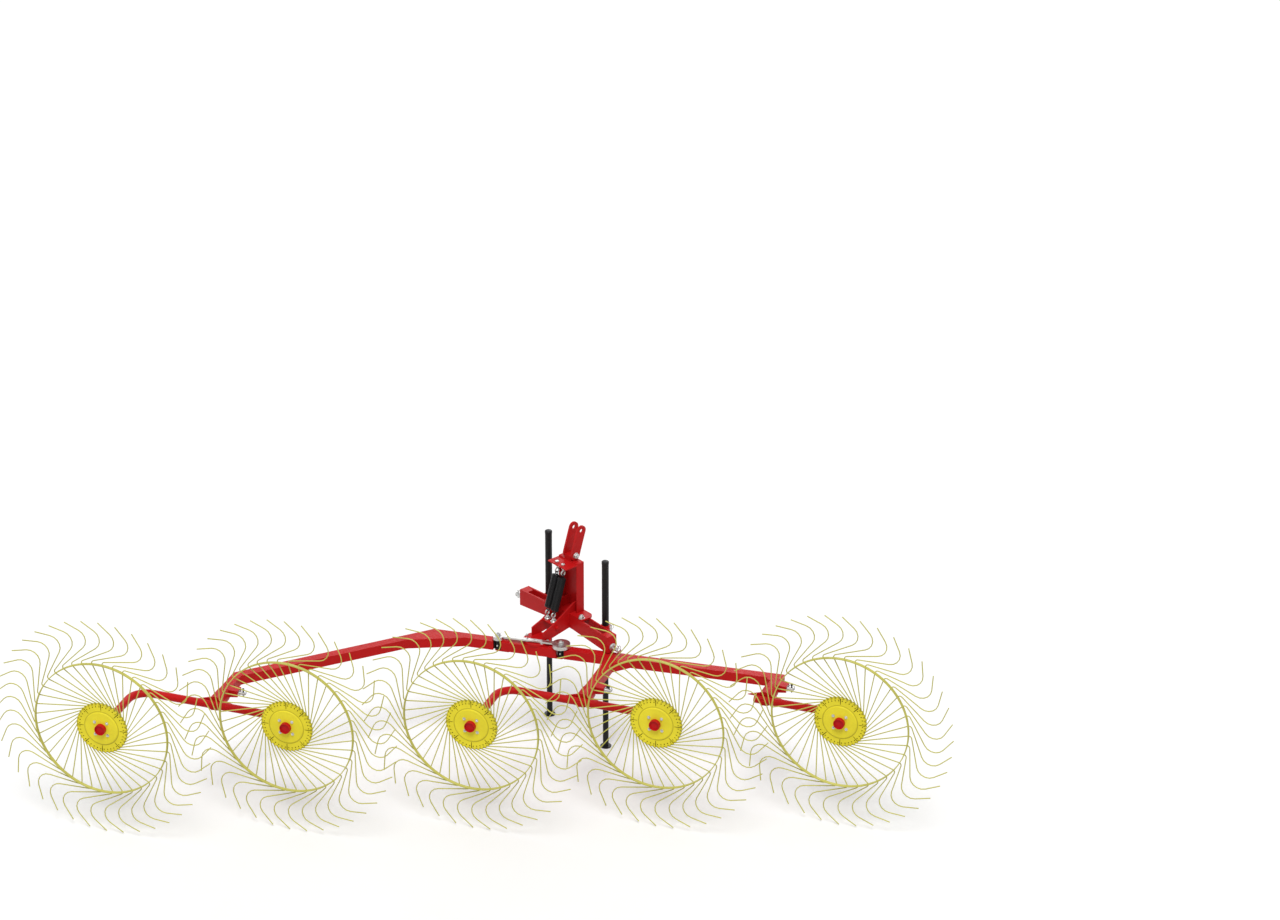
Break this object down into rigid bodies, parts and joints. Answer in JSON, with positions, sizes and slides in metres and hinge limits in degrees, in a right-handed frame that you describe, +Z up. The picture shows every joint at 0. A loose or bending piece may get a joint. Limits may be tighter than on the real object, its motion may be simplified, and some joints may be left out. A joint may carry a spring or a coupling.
{
  "type": "mounted finger-wheel rake and tedder",
  "caption": "Tractor-mounted finger-wheel hay rake and tedder: wire finger wheels on rocking arms along a hinged beam, with a three-point headstock and parking stands.",
  "frame": {"origin": "on the ground below the hub of the middle wheel, the middle of the footprint", "axes": "+X to the right of travel, +Y forward towards the tractor, +Z up"},
  "size_m": [3.989, 4.0364, 1.415],
  "materials": {
    "red_paint": "gloss",
    "hub_disc": "gloss",
    "tines": "satin",
    "stands": "satin",
    "springs": "satin",
    "hinges": "satin",
    "zinc": "zinc plated"
  },
  "bodies": {
    "headstock": {"float_arm": "red_paint", "hitch_arms": "red_paint", "left_hinge_pin": "zinc", "left_link_pin": "zinc", "left_stand_tube": "stands", "mast": "red_paint", "middle_beam": "red_paint", "right_hinge_pin": "zinc", "right_link_pin": "zinc", "right_stand_tube": "stands", "spring_eyebolts": "zinc", "springs": "springs", "tie_bar": "zinc", "upper_link_cheeks": "red_paint"},
    "left_wing": {"left_beam": "red_paint", "left_hinge_barrel": "hinges", "left_rocking_arm": "red_paint"},
    "right_wing": {"end_arm": "red_paint", "right_beam": "red_paint", "right_hinge_barrel": "hinges", "right_rocking_arm": "red_paint"},
    "left_stand": {"left_stand": "stands"},
    "right_stand": {"right_stand": "stands"},
    "wheel_1": {"wheel_1_tines": "tines", "wheel_1_disc": "hub_disc", "wheel_1_bearing": "red_paint"},
    "wheel_2": {"wheel_2_tines": "tines", "wheel_2_disc": "hub_disc", "wheel_2_bearing": "red_paint"},
    "wheel_3": {"wheel_3_tines": "tines", "wheel_3_disc": "hub_disc", "wheel_3_bearing": "red_paint"},
    "wheel_4": {"wheel_4_tines": "tines", "wheel_4_disc": "hub_disc", "wheel_4_bearing": "red_paint"},
    "wheel_5": {"wheel_5_tines": "tines", "wheel_5_disc": "hub_disc", "wheel_5_bearing": "red_paint"}
  },
  "joints": [
    {"name": "left_wing_swing", "type": "hinge", "parent": "headstock", "child": "left_wing", "pos_m": [-0.672, 0.755, 0.7], "axis": [0, 0, 1], "range_deg": [-25, 0]},
    {"name": "right_wing_swing", "type": "hinge", "parent": "headstock", "child": "right_wing", "pos_m": [-0.34536, 0.97532, 0.7], "axis": [0, 0, 1], "range_deg": [-25, 0]},
    {"name": "left_stand_slide", "type": "slide", "parent": "headstock", "child": "left_stand", "axis": [0, 0, 1], "range_m": [0, 0.4]},
    {"name": "right_stand_slide", "type": "slide", "parent": "headstock", "child": "right_stand", "axis": [0, 0, 1], "range_m": [0, 0.4]},
    {"name": "wheel_1_spin", "type": "hinge", "parent": "left_wing", "child": "wheel_1", "pos_m": [-1.38397, -1.67294, 0.7], "axis": [0.4901, -0.8716, 0], "continuous": true},
    {"name": "wheel_2_spin", "type": "hinge", "parent": "left_wing", "child": "wheel_2", "pos_m": [-0.69199, -0.83647, 0.7], "axis": [0.4901, -0.8716, 0], "continuous": true},
    {"name": "wheel_3_spin", "type": "hinge", "parent": "right_wing", "child": "wheel_3", "pos_m": [0, 0, 0.7], "axis": [0.4901, -0.8716, 0], "continuous": true},
    {"name": "wheel_4_spin", "type": "hinge", "parent": "right_wing", "child": "wheel_4", "pos_m": [0.69199, 0.83647, 0.7], "axis": [0.4901, -0.8716, 0], "continuous": true},
    {"name": "wheel_5_spin", "type": "hinge", "parent": "right_wing", "child": "wheel_5", "pos_m": [1.38397, 1.67294, 0.7], "axis": [0.4901, -0.8716, 0], "continuous": true}
  ]
}
